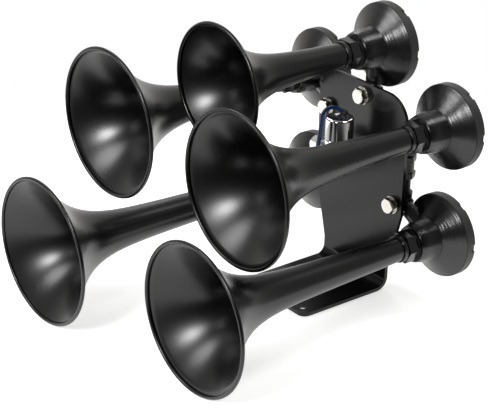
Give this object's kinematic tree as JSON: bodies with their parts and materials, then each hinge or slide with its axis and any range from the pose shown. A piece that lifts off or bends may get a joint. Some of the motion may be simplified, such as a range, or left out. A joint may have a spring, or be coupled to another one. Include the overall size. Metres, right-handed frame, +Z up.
{
  "type": "train air horn",
  "caption": "Black train air horn: flared trumpets with diaphragm power chambers on a bent bracket, fed by pipework from a chrome solenoid air valve.",
  "frame": {"origin": "middle of the flat underside of the bracket's foot, on the ground", "axes": "+Z up, the trumpets sound towards -Y, +X to the right seen from the front"},
  "size_m": [0.358, 0.3842, 0.3215],
  "materials": {
    "horn_black": "satin black paint",
    "chamber_black": "glossy black paint over a casting",
    "cap_black": "textured black paint",
    "plate_black": "satin black powder coat",
    "nut_black": "satin black",
    "fitting_black": "black malleable casting",
    "pipe_black": "black pipe",
    "zinc": "bright zinc plate",
    "chrome": "polished chrome",
    "valve_metal": "plain machined metal",
    "spring_steel": "drawn steel",
    "diaphragm_steel": "thin rolled steel",
    "seal_rubber": "black rubber",
    "spool_plastic": "black moulded plastic",
    "winding_copper": "enamelled copper wire",
    "lead_blue": "glossy blue jacket",
    "core_copper": "bare tinned copper"
  },
  "bodies": {
    "horn_set": {"trumpet_top": "horn_black", "trumpet_upper_left": "horn_black", "trumpet_upper_right": "horn_black", "trumpet_lower_left": "horn_black", "trumpet_lower_right": "horn_black", "chamber_top": "chamber_black", "cap_top": "cap_black", "seal_ring_top": "seal_rubber", "chamber_upper_left": "chamber_black", "cap_upper_left": "cap_black", "seal_ring_upper_left": "seal_rubber", "chamber_upper_right": "chamber_black", "cap_upper_right": "cap_black", "seal_ring_upper_right": "seal_rubber", "chamber_lower_left": "chamber_black", "cap_lower_left": "cap_black", "seal_ring_lower_left": "seal_rubber", "chamber_lower_right": "chamber_black", "cap_lower_right": "cap_black", "seal_ring_lower_right": "seal_rubber", "lock_nuts": "nut_black", "mounting_bracket": "plate_black", "bracket_bolts": "zinc", "bracket_washers": "zinc", "cross_fitting": "fitting_black", "tee_left": "fitting_black", "tee_right": "fitting_black", "elbow_upper_left": "fitting_black", "elbow_upper_right": "fitting_black", "elbow_lower_left": "fitting_black", "elbow_lower_right": "fitting_black", "top_fitting": "fitting_black", "cross_pipes": "pipe_black", "riser_pipe": "pipe_black", "upper_nipples": "pipe_black", "lower_nipples": "pipe_black", "chamber_nipples": "pipe_black", "outlet_nipple": "pipe_black", "valve_body": "valve_metal", "inlet_fitting": "chrome", "bonnet": "valve_metal", "fixed_core": "valve_metal", "return_spring": "spring_steel", "coil_spool": "spool_plastic", "coil_winding": "winding_copper", "coil_can": "chrome", "lead_boot": "seal_rubber", "coil_lead": "lead_blue", "lead_cores": "core_copper"},
    "diaphragm_top": {"diaphragm_top": "diaphragm_steel"},
    "diaphragm_upper_left": {"diaphragm_upper_left": "diaphragm_steel"},
    "diaphragm_upper_right": {"diaphragm_upper_right": "diaphragm_steel"},
    "diaphragm_lower_left": {"diaphragm_lower_left": "diaphragm_steel"},
    "diaphragm_lower_right": {"diaphragm_lower_right": "diaphragm_steel"},
    "plunger": {"plunger": "valve_metal", "valve_disc": "seal_rubber"}
  },
  "joints": [
    {"name": "beat_top", "type": "slide", "parent": "horn_set", "child": "diaphragm_top", "axis": [0, 1, 0], "range_m": [0, 0.0005], "stiffness_N_per_m": 4000, "springref_m": -0.0005},
    {"name": "beat_upper_left", "type": "slide", "parent": "horn_set", "child": "diaphragm_upper_left", "axis": [0, 1, 0], "range_m": [0, 0.0005], "stiffness_N_per_m": 4000, "springref_m": -0.0005},
    {"name": "beat_upper_right", "type": "slide", "parent": "horn_set", "child": "diaphragm_upper_right", "axis": [0, 1, 0], "range_m": [0, 0.0005], "stiffness_N_per_m": 4000, "springref_m": -0.0005},
    {"name": "beat_lower_left", "type": "slide", "parent": "horn_set", "child": "diaphragm_lower_left", "axis": [0, 1, 0], "range_m": [0, 0.0005], "stiffness_N_per_m": 4000, "springref_m": -0.0005},
    {"name": "beat_lower_right", "type": "slide", "parent": "horn_set", "child": "diaphragm_lower_right", "axis": [0, 1, 0], "range_m": [0, 0.0005], "stiffness_N_per_m": 4000, "springref_m": -0.0005},
    {"name": "valve_lift", "type": "slide", "parent": "horn_set", "child": "plunger", "axis": [0, 0, 1], "range_m": [0, 0.0025], "stiffness_N_per_m": 400, "springref_m": -0.002, "deforming": ["return_spring"]}
  ]
}
